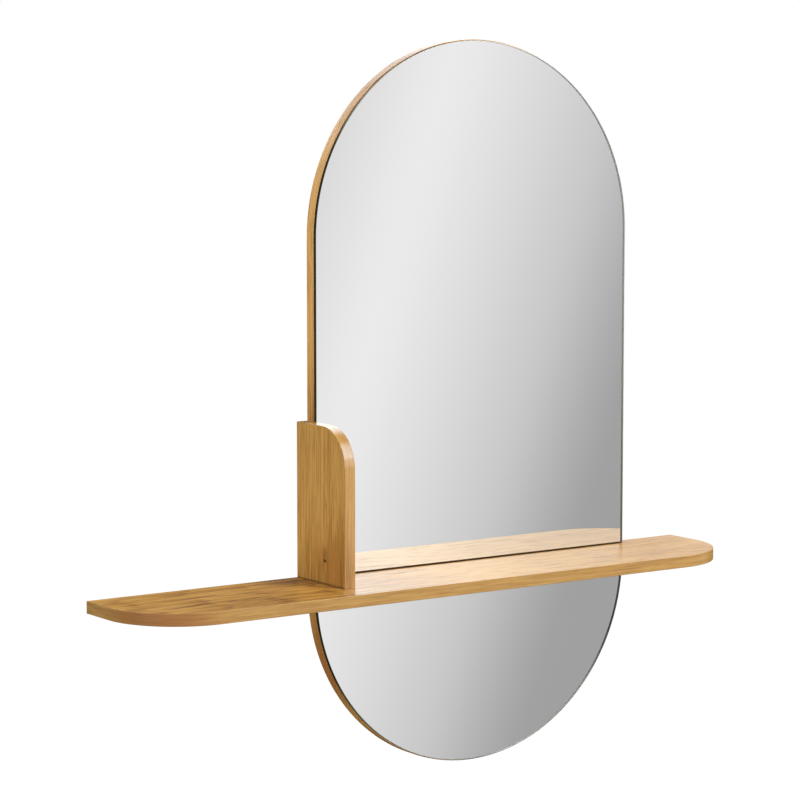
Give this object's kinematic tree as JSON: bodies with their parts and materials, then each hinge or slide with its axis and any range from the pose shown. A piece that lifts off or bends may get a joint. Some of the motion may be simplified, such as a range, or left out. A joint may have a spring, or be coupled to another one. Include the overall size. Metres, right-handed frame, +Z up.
{
  "type": "wall mirror with shelf",
  "caption": "Tall round-ended wall mirror on an oak backing board, crossed low down by a long off-centre oak shelf with an upright panel at the mirror's left side.",
  "frame": {"origin": "centre of the backing board's rear face, on the wall plane", "axes": "+Z up, +X to the right as seen from the front, +Y into the wall"},
  "size_m": [1.066, 0.178, 1.1],
  "materials": {
    "board_veneer": "satin lacquered oak veneer",
    "board_edge": "satin lacquered oak edge band",
    "mirror_glass": "silvered float glass with ground edges",
    "mounting_tape": "black foam mounting tape",
    "shelf_veneer": "satin lacquered oak veneer",
    "shelf_edge": "satin lacquered oak edge band",
    "upright_veneer": "satin lacquered oak veneer",
    "upright_edge": "satin lacquered oak edge band",
    "screw_steel": "zinc plated",
    "plate_steel": "zinc plated sheet",
    "dowel_beech": "raw beech",
    "cap_oak": "satin lacquered oak plug"
  },
  "bodies": {
    "root": {"backing_board": "board_veneer", "backing_board_edge_band": "board_edge", "upper_mirror_glass": "mirror_glass", "lower_mirror_glass": "mirror_glass", "upper_glass_tape": "mounting_tape", "lower_glass_tape": "mounting_tape", "shelf_board": "shelf_veneer", "shelf_edge_band": "shelf_edge", "upright_panel": "upright_veneer", "upright_edge_band": "upright_edge", "shelf_screws": "screw_steel", "shelf_dowels": "dowel_beech", "upright_screws": "screw_steel", "upright_screw_caps": "cap_oak", "upright_dowels": "dowel_beech", "upright_side_dowels": "dowel_beech", "hanger_plate_left": "plate_steel", "hanger_plate_right": "plate_steel", "hanger_plate_left_screws": "screw_steel", "hanger_plate_right_screws": "screw_steel"}
  },
  "joints": []
}
